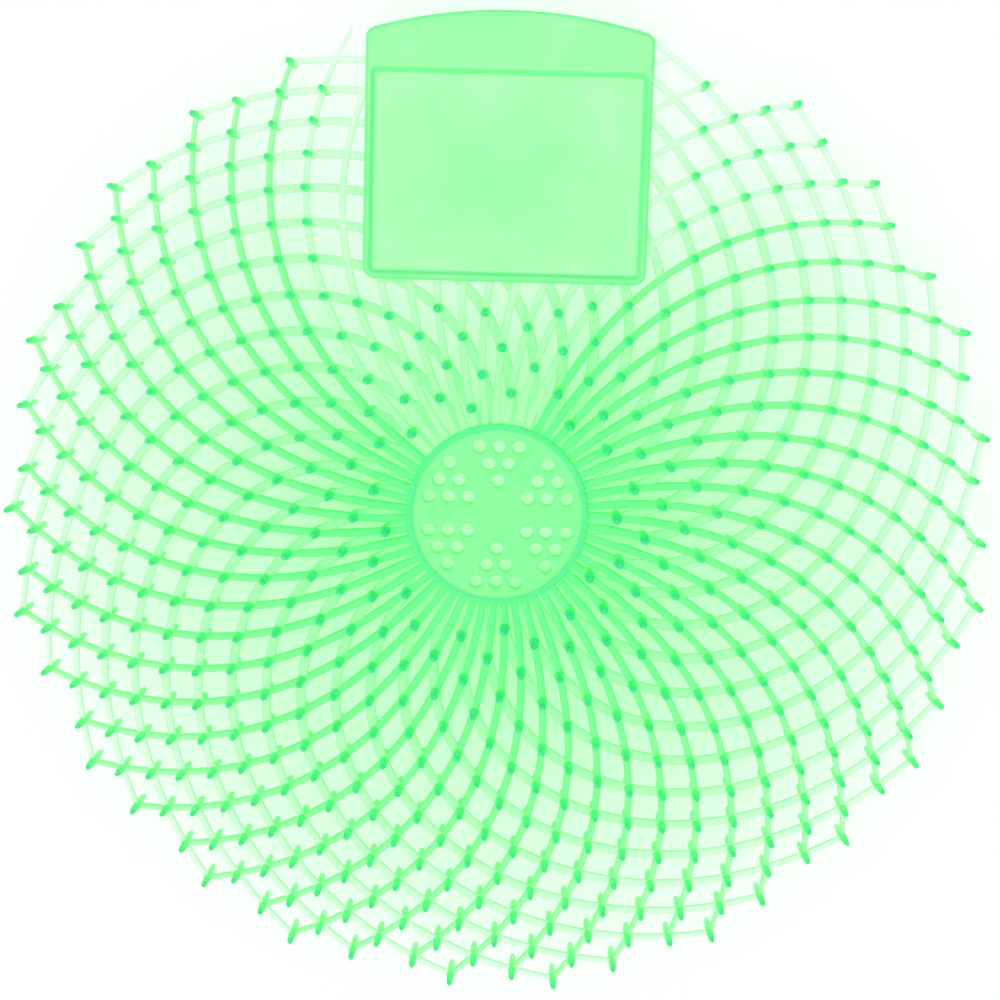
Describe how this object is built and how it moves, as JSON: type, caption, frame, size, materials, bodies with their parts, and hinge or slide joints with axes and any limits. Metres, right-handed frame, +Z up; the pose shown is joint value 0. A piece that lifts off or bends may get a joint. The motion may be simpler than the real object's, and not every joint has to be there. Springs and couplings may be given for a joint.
{
  "type": "urinal deodorizer screen",
  "caption": "Round soft plastic urinal screen: spiral lattice with splash pins, perforated drain disc and a flat tag.",
  "frame": {"origin": "centre of the drain disc's underside", "axes": "+Z up out of the pinned face, +Y from the drain disc towards the tag, +X to the right in that view"},
  "size_m": [0.1766, 0.1769, 0.0135],
  "materials": {
    "screen_plastic": "satin, soft and slightly translucent mint green"
  },
  "bodies": {
    "root": {"screen": "screen_plastic"}
  },
  "joints": []
}
